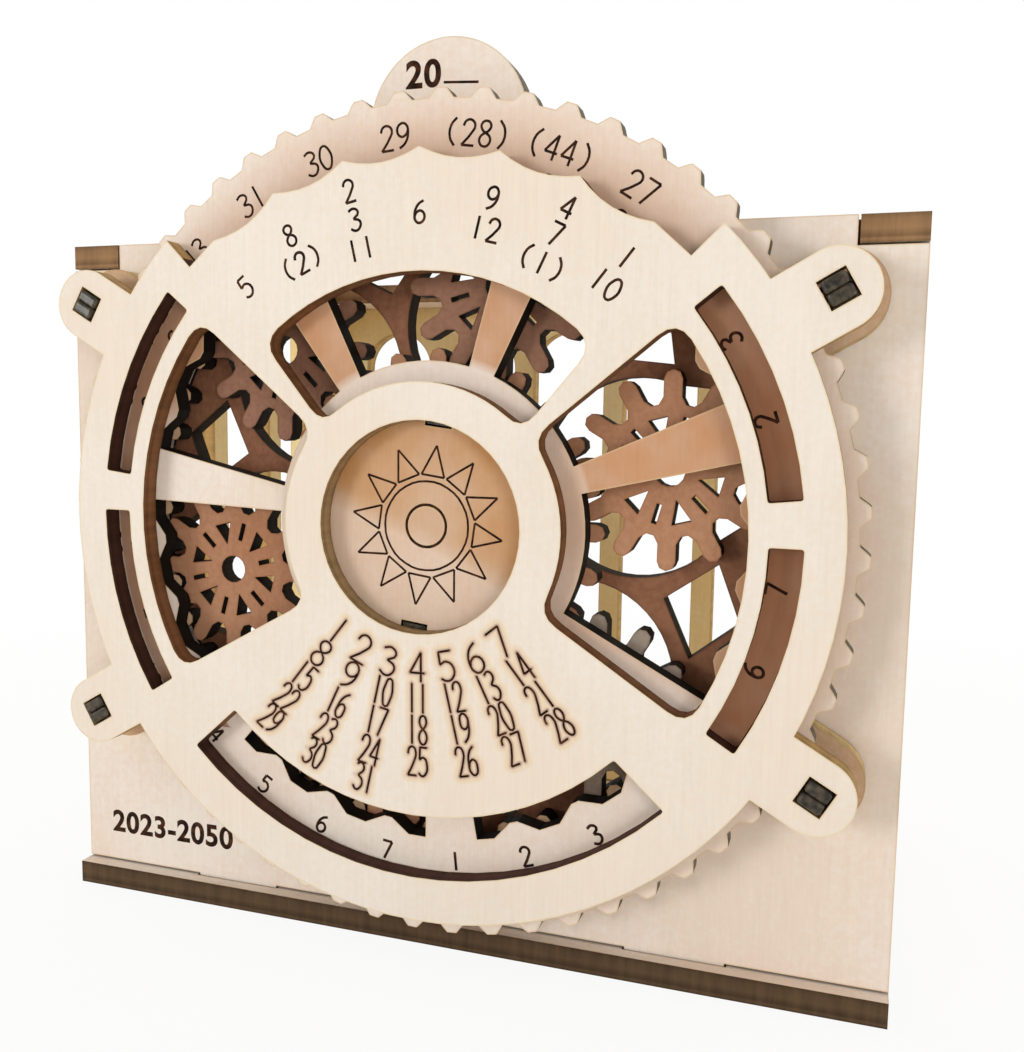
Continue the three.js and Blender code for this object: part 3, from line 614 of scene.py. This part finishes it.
# Boards behind the plate: browner from laser smoke and painted shade; the carrier is darker still, as
# painted shade
TAN = {"face": "C09070", "patch": "B07C5C", "edge": "A06A48", "walls": ((0, "2A211B"),)}
GREY_SHADED_PLANET = {"face": "A8998B", "patch": "93806F", "edge": "846F5E", "walls": ((0, "2A211B"),)}
SHADED_CARRIER = {"face": "9C6C51", "patch": "80563F", "edge": "6A4635", "walls": ((0, "2A201A"),)}
SHADED_PLANET = {"face": "A07660", "patch": "8A6350", "edge": "7E5844", "walls": ((0, "2A211B"),)}
GOLD = {"face": "FDEFC0", "patch": "F8E1A4", "edge": "D8B474", "walls": ((0, "D8B474"),)}
finishes = {
    "front_plate": ("Y", PALE),
    "calendar_wheel": ("Y", {**PINK, "walls": CHARRED_AND_SHADED_WALLS, "painted_shade": True}),
    # Its walls are near black inside the dial and pale at the rim: burnt char and painted shade
    "ring_gear_plate": (
        "Y",
        {"face": "E2C2A2", "patch": "D3AC88", "edge": "C8A070", "walls": ((0, "1C1713"), (44, "D8BF8C"))},
    ),
    "sun_gear": ("Y", TAN),
    "planet_carrier": ("Y", SHADED_CARRIER),
    "axle_retainer": ("Y", PINK),
    # The panel's walls are near black behind the dial: burnt char and painted shade
    "front_panel": ("Y", {**PINK, "walls": ((0, "1C1713"), (41, "7F7868"))}),
    "rear_panel": ("Y", GOLD),
    "left_side": ("X", GOLD),
    "right_side": ("X", GOLD),
    "base_plate": ("Z", {**PINK, "walls": ((0, "624D38"),)}),
    "top_plate": ("Z", {**PINK, "walls": ((0, "A07C58"),)}),
    # The axle in the hub gets the same painted shade as the wheel
    "central_axle": ("Y", {**PINK, "painted_shade": True}),
}
# Two planets get a darker copy of the tones and one a greyer copy, as painted shade
for number, tones in enumerate((TAN, SHADED_PLANET, SHADED_PLANET, TAN, TAN, GREY_SHADED_PLANET), 1):
    finishes[f"planet_gear_{number}"] = ("Y", tones)
for node, (flat, tones) in finishes.items():
    board = frame["nodes"][node]
    board.data.materials.clear()
    board.data.materials.append(plywood(f"{node}_plywood", node, flat, **tones))
print("boards finished:", len(finishes))

# %% [markdown]
# The pegs and the two keys show their cut ends only. The laser has turned them nearly black, with a
# slight gloss where the char is dense. Fine noise runs from black to the brown of thinner char.

# %% Charred ends
CHAR_SPOTS_PER_MM = 1.4
soot_black = bpy.data.materials.new("charred_plywood_end")
soot_black.use_nodes = True
tree = soot_black.node_tree
tree.nodes.clear()
place = add_node(tree, "ShaderNodeTexCoord")
spots = add_node(
    tree,
    "ShaderNodeTexNoise",
    {"Scale": CHAR_SPOTS_PER_MM / MM, "Detail": 4.0},
    links={"Vector": place.outputs["Object"]},
)
shades = add_node(
    tree,
    "ShaderNodeMapRange",
    {"From Min": 0.35, "From Max": 0.7},
    links={"Value": spots.outputs["Fac"]},
)
char = add_node(
    tree,
    "ShaderNodeMix",
    {6: tone("1E1D18"), 7: tone("5A5040")},
    data_type="RGBA",
    links={0: shades.outputs[0]},
)
shader = add_node(
    tree,
    "ShaderNodeBsdfPrincipled",
    {"Roughness": 0.32, "IOR": 1.45},
    links={"Base Color": char.outputs[2]},
)
add_node(tree, "ShaderNodeOutputMaterial", links={"Surface": shader.outputs[0]})
for node in ("key_upper", "key_lower"):
    frame["nodes"][node].data.materials.clear()
    frame["nodes"][node].data.materials.append(soot_black)
print("char spots in mm:", round(1 / CHAR_SPOTS_PER_MM, 1))

# %% [markdown]
# Each peg is two plies, and handling has rounded their edges. A solid's mesh is loose triangles, so
# each ply gets a copy whose points are merged and whose flat triangles are joined. Then its edges can
# be bevelled, which leaves a groove along the seam between the plies.

# %% Worn pegs
PEG_WEAR = 0.32
MERGE_WITHIN = 0.001
FLAT_WITHIN = 0.01  # radians
for node, board in list(frame["nodes"].items()):
    if node.startswith("peg_"):
        worn = bmesh.new()
        worn.from_mesh(board.data)
        bmesh.ops.remove_doubles(worn, verts=worn.verts, dist=MERGE_WITHIN * MM)
        bmesh.ops.dissolve_limit(
            worn, angle_limit=FLAT_WITHIN, verts=worn.verts, edges=worn.edges
        )
        bmesh.ops.bevel(
            worn,
            geom=worn.edges[:],
            offset=PEG_WEAR * MM,
            offset_type="OFFSET",
            segments=3,
            profile=0.5,
            affect="EDGES",
            material=-1,
        )
        mesh = bpy.data.meshes.new(f"{node}_worn")
        worn.to_mesh(mesh)
        worn.free()
        mesh.materials.append(soot_black)
        piece = bpy.data.objects.new(f"{node}_worn", mesh)
        bpy.context.scene.collection.objects.link(piece)
        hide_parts(node)
        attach(piece, "frame")
        print(piece.name, "faces:", len(mesh.polygons))

# %% [markdown]
# The engraving is drawn with single strokes, as a laser does. Each numeral is a few curves in a box
# one unit wide and two high. The curves are swept with a thin round line, and the result is pressed
# flat, so that it lies on the wood like a dark scorched groove.

# %% Numerals as strokes
NUMERALS = {
    "0": [([(0.5, 2), (0.08, 1.5), (0.08, 0.5), (0.5, 0), (0.92, 0.5), (0.92, 1.5)], True)],
    "1": [([(0.5, 2), (0.5, 0)], False)],
    "2": [
        ([(0.02, 1.5), (0.2, 1.9), (0.6, 2), (0.95, 1.6), (0.7, 0.95), (0, 0)], False),
        ([(0, 0), (1, 0)], False),
    ],
    "3": [
        ([(0.05, 1.85), (0.55, 2), (0.92, 1.58), (0.4, 1.08)], False),
        ([(0.4, 1.08), (0.95, 0.75), (0.8, 0.15), (0.4, 0), (0, 0.25)], False),
    ],
    "4": [([(0.75, 0), (0.75, 2)], False), ([(0.75, 2), (0, 0.6)], False), ([(0, 0.6), (1, 0.6)], False)],
    "5": [
        ([(0.95, 2), (0.15, 2)], False),
        ([(0.15, 2), (0.1, 1.15)], False),
        ([(0.1, 1.15), (0.55, 1.3), (0.97, 0.8), (0.75, 0.12), (0.35, 0), (0, 0.2)], False),
    ],
    "6": [
        (
            [
                (0.85, 1.95), (0.35, 1.6), (0.05, 0.8), (0.2, 0.1), (0.6, 0),
                (0.95, 0.5), (0.65, 1.05), (0.2, 0.9), (0.06, 0.6),
            ],
            False,
        )
    ],
    "7": [([(0, 2), (1, 2)], False), ([(1, 2), (0.35, 0)], False)],
    "8": [
        (
            [
                (0.5, 2), (0.12, 1.7), (0.3, 1.2), (0.5, 1.08), (0.9, 0.7), (0.85, 0.2),
                (0.5, 0), (0.15, 0.2), (0.1, 0.7), (0.5, 1.08), (0.7, 1.2), (0.88, 1.7),
            ],
            True,
        )
    ],
    "9": [
        (
            [
                (0.15, 0.05), (0.65, 0.4), (0.95, 1.2), (0.8, 1.9), (0.4, 2),
                (0.05, 1.5), (0.35, 0.95), (0.8, 1.1), (0.94, 1.4),
            ],
            False,
        )
    ],
    "(": [([(0.75, 2.1), (0.35, 1.5), (0.35, 0.5), (0.75, -0.1)], False)],
    ")": [([(0.25, 2.1), (0.65, 1.5), (0.65, 0.5), (0.25, -0.1)], False)],
}
print("signs:", "".join(NUMERALS))

# %% [markdown]
# A label stands on a circle round the dial's centre, with its top away from the centre, or towards it
# where the real numbers hang that way.

# %% Labels on the dial


def label(text, radius, angle, height, width, gap, outward=True):
    """The strokes of a label centred at that radius and angle of the dial, in millimetres."""
    a = math.radians(angle)
    rise = Vector((math.cos(a), math.sin(a)))
    if not outward:
        rise = -rise
    run = Vector((rise.y, -rise.x))
    middle = Vector((math.cos(a), math.sin(a))) * radius
    start = -(len(text) * width + (len(text) - 1) * gap) / 2
    placed = []
    for i, sign in enumerate(text):
        for points, closed in NUMERALS[sign]:
            moved = []
            for u, v in points:
                across = start + i * (width + gap) + u * width
                moved.append(middle + run * across + rise * (v - 1) * height / 2)
            placed.append((moved, closed))
    return placed


# %% [markdown]
# One function turns such strokes into a piece. A stroke of two points is straight, and a longer one
# is a smooth curve whose handles Blender sets. The piece rides on the body that it is burnt into.

# %% Engraving
ROUND_END = ((0.6, 0.8), (1.0, 0.02))  # how far past the end, and how wide, as shares of the line


def engrave(name, strokes, body, face, line, height=0.03, stain=None):
    """A flat line along the strokes, on the plane y = face: a dark groove, or a stain round one."""
    curve = bpy.data.curves.new(name, "CURVE")
    curve.dimensions = "3D"
    curve.bevel_depth = line / 2 * MM
    curve.bevel_resolution = 2 if stain else 1
    curve.resolution_u = 3
    curve.use_fill_caps = True
    for points, closed in strokes:
        straight = len(points) == 2
        widths = [1.0] * len(points)
        if stain and not closed:
            # Round ends, so that a stain fades out there too
            start, end = points[0], points[-1]
            back = (start - points[1]).normalized() * line / 2
            on = (end - points[-2]).normalized() * line / 2
            for past, width in ROUND_END:
                points = [start + back * past, *points, end + on * past]
                widths = [width, *widths, width]
        spline = curve.splines.new("BEZIER")
        spline.bezier_points.add(len(points) - 1)
        for knot, point, width in zip(spline.bezier_points, points, widths):
            knot.co = (centre.x + point.x * MM, 0, centre.z + point.y * MM)
            knot.radius = width
            knot.handle_left_type = knot.handle_right_type = "VECTOR" if straight else "AUTO"
        spline.use_cyclic_u = closed
        if straight:
            spline.resolution_u = 1
    drawn = bpy.data.objects.new(name, curve)
    bpy.context.scene.collection.objects.link(drawn)
    bpy.context.view_layer.update()
    mesh = bpy.data.meshes.new_from_object(drawn.evaluated_get(bpy.context.evaluated_depsgraph_get()))
    bpy.data.objects.remove(drawn)
    if stain:
        closeness = mesh.attributes.new("closeness", "FLOAT", "POINT")
        rises = [min(1, abs(v.co.y) / curve.bevel_depth) for v in mesh.vertices]
        closeness.data.foreach_set("value", [1 - math.sqrt(1 - rise * rise) for rise in rises])
    place_engraving(name, mesh, body, face, height / line * 2, stain)


def place_engraving(name, mesh, body, face, press, stain=None):
    """Presses a drawing that lies round y = 0 flat, and puts it on the plane y = face."""
    mesh.transform(Matrix.Translation((0, face, 0)) @ Matrix.Diagonal((1, press, 1, 1)))
    mesh.shade_flat()
    mesh.materials.clear()
    mesh.materials.append(stain or scorch)
    piece = bpy.data.objects.new(name, mesh)
    bpy.context.scene.collection.objects.link(piece)
    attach(piece, body)
    print(name, "faces:", len(mesh.polygons))


# %% [markdown]
# The groove itself is wood burnt dark brown, dull as soot, and lighter where the beam moved faster.

# %% Scorched groove
BURNS_PER_MM = 0.9
scorch = bpy.data.materials.new("laser_scorched_groove")
scorch.use_nodes = True
tree = scorch.node_tree
tree.nodes.clear()
place = add_node(tree, "ShaderNodeTexCoord")
uneven = add_node(
    tree,
    "ShaderNodeTexNoise",
    {"Scale": BURNS_PER_MM / MM, "Detail": 3.0},
    links={"Vector": place.outputs["Object"]},
)
depth = add_node(
    tree,
    "ShaderNodeMapRange",
    {"From Min": 0.4, "From Max": 0.72},
    links={"Value": uneven.outputs["Fac"]},
)
burnt = add_node(
    tree,
    "ShaderNodeMix",
    {6: tone("1F120D"), 7: tone("55331F")},
    data_type="RGBA",
    links={0: depth.outputs[0]},
)
shader = add_node(
    tree,
    "ShaderNodeBsdfPrincipled",
    {"Roughness": 0.9, "IOR": 1.45, "Specular IOR Level": 0.2},
    links={"Base Color": burnt.outputs[2]},
)
add_node(tree, "ShaderNodeOutputMaterial", links={"Surface": shader.outputs[0]})
print("groove material:", scorch.name)

# %% [markdown]
# The dates stand in seven columns, a weekday apart, and five rows. Their tops point to the centre.
# The laser has cut them deeply, so smoke has stained the wood round each stroke. The stain is the
# same plywood in two films under the groove. An attribute on their points, one in the middle of a
# film and zero at its sides, fades the stain out into the plain wood.

# %% Dates
STEP = 360 / 28  # the dial's 28 places
DATE_ROWS = (16.4, 20.15, 23.95, 27.8, 31.4)
DATE_MIDDLE, DATE_STEP = 270.6, STEP + 0.08
DATE_HEIGHT, DATE_GAP, DATE_LINE = 3.5, 0.3, 0.3
ONE_DIGIT_WIDTH, TWO_DIGIT_WIDTH = 1.85, 1.1
DATE_DEPTH = 0.04
dates = []
for day in range(1, 32):
    row, column = divmod(day - 1, 7)
    angle = DATE_MIDDLE + (column - 3) * DATE_STEP
    width = ONE_DIGIT_WIDTH if day < 10 else TWO_DIGIT_WIDTH
    dates += label(str(day), DATE_ROWS[row], angle, DATE_HEIGHT, width, DATE_GAP, outward=False)
engrave("date_numerals", dates, "frame", plate_face, DATE_LINE, DATE_DEPTH)
for line, height, brown in ((0.95, 0.016, "A0662F"), (2.0, 0.008, "EAC994")):
    tones = {**PALE, "halo": brown}
    stained = plywood(f"smoke_stained_plywood_{height}", "front_plate", "Y", **tones)
    engrave(f"date_stain_{height}", dates, "frame", plate_face, line, height, stained)

# %% [markdown]
# The months stand along the scalloped edge, each in the column of the weekday on which it starts.
# January and February have a second place in brackets for leap years.

# %% Months
# For each column its angle, and the months in it with their radii
MONTHS = (
    (128.7, (("5", 35.8),)),
    (115.9, (("8", 37.5), ("(2)", 34.0))),
    (102.7, (("2", 39.4), ("3", 36.1), ("11", 32.7))),
    (89.8, (("6", 35.8),)),
    (76.6, (("9", 37.8), ("12", 34.5))),
    (63.9, (("4", 39.5), ("7", 36.4), ("(1)", 33.1))),
    (51.4, (("1", 38.4), ("10", 34.9))),
)
MONTH_HEIGHT, MONTH_WIDTH, MONTH_GAP, MONTH_LINE = 2.5, 1.35, 0.6, 0.36
months = []
for angle, entries in MONTHS:
    for text, radius in entries:
        months += label(text, radius, angle, MONTH_HEIGHT, MONTH_WIDTH, MONTH_GAP)
engrave("month_numerals", months, "frame", plate_face, MONTH_LINE)

# %% [markdown]
# The wheel carries a year at each of its 28 places. The years are ordered so that one step on the
# wheel is one weekday, and leap years stand in brackets.

# %% Years
YEARS = "27 (44) (28) 29 30 31 43 (32) 33 34 35 47 (36) 37 38 39 45 (40) 41 42 (48) 49 50 23 46 (24) 25 26"
YEAR_RADIUS, FIRST_YEAR = 45.0, 56.8
YEAR_HEIGHT, YEAR_WIDTH, YEAR_GAP, YEAR_LINE = 2.8, 1.5, 0.5, 0.34
years = []
for i, text in enumerate(YEARS.split()):
    # The year 26 stands a little further on than its even place
    angle = FIRST_YEAR + i * STEP - (2.4 if text == "26" else 0)
    years += label(text, YEAR_RADIUS, angle, YEAR_HEIGHT, YEAR_WIDTH, YEAR_GAP)
engrave("year_numerals", years, "dial", wheel_face, YEAR_LINE)

# %% [markdown]
# The weekdays run from 1 to 7 on a smaller circle, four times round. The slots of the plate show
# them, and in the lowest slot they stand with their tops towards the centre.

# %% Weekdays
DAY_RADIUS, FIRST_DAY = 40.9, 224.4
DAY_HEIGHT, DAY_WIDTH, DAY_GAP, DAY_LINE = 2.3, 1.25, 0.5, 0.4
weekdays = []
for i in range(28):
    sign = str((i + 3) % 7 + 1)
    angle = FIRST_DAY + i * STEP
    weekdays += label(sign, DAY_RADIUS, angle, DAY_HEIGHT, DAY_WIDTH, DAY_GAP, outward=False)
engrave("weekday_numerals", weekdays, "dial", wheel_face, DAY_LINE)

# %% [markdown]
# The hub shows a sun: two circles and a ring of twelve outlined triangles.

# %% Sun figure
SUN_CIRCLES = (2.55, 5.3)
KNOTS = 12  # of each circle's curve
RAYS, FIRST_RAY = 12, 22.2
RAY_TIP, RAY_FOOT, RAY_HALF_WIDTH = 9.6, 6.0, 1.45
SUN_LINE = 0.3
sun = []
for radius in SUN_CIRCLES:
    steps = [math.tau * i / KNOTS for i in range(KNOTS)]
    sun.append(([Vector((math.cos(a), math.sin(a))) * radius for a in steps], True))
for i in range(RAYS):
    a = math.radians(FIRST_RAY + 360 / RAYS * i)
    out, side = Vector((math.cos(a), math.sin(a))), Vector((-math.sin(a), math.cos(a)))
    foot, aside = out * RAY_FOOT, side * RAY_HALF_WIDTH
    corners = (out * RAY_TIP, foot + aside, foot - aside)
    sun += [([corners[k - 1], corners[k]], False) for k in (1, 2, 0)]
engrave("sun_figure", sun, "dial", wheel_face, SUN_LINE)

# %% [markdown]
# Two places have filled, bolder numbers: the century on the dome, with a line where the year's
# last two digits are read below it, and the span of years on the panel. Text objects give them.

# %% Filled numbers
DIGIT_SHARE = 0.73  # a digit's height as a share of the text size
NUMBER_SPACING = 1.08
NUMBER_WEIGHT = 0.12
NUMBER_DEPTH = 0.03


def print_numbers(name, text, x, z, height):
    """Filled numbers whose lower left corner is at x, z in millimetres from the dial's centre."""
    data = bpy.data.curves.new(name, "FONT")
    data.body = text
    data.size = height * MM / DIGIT_SHARE
    data.offset = NUMBER_WEIGHT * MM
    data.extrude = NUMBER_DEPTH * MM
    data.space_character = NUMBER_SPACING
    written = bpy.data.objects.new(name, data)
    bpy.context.scene.collection.objects.link(written)
    bpy.context.view_layer.update()
    mesh = bpy.data.meshes.new_from_object(written.evaluated_get(bpy.context.evaluated_depsgraph_get()))
    bpy.data.objects.remove(written)
    mesh.transform(Matrix.Rotation(math.pi / 2, 4, "X"))
    mesh.transform(Matrix.Translation((centre.x + x * MM, 0, centre.z + z * MM)))
    place_engraving(name, mesh, "frame", panel_face, 1)


print_numbers("century_numbers", "20", -5.4, 51.9, 3.2)
print_numbers("span_numbers", "2023-2050", -50.4, -46.6, 3.1)
RULE_LINE = 0.35
rule = [([Vector((-0.5, 52.25)), Vector((3.9, 51.95))], False)]
engrave("century_rule", rule, "frame", panel_face, RULE_LINE)
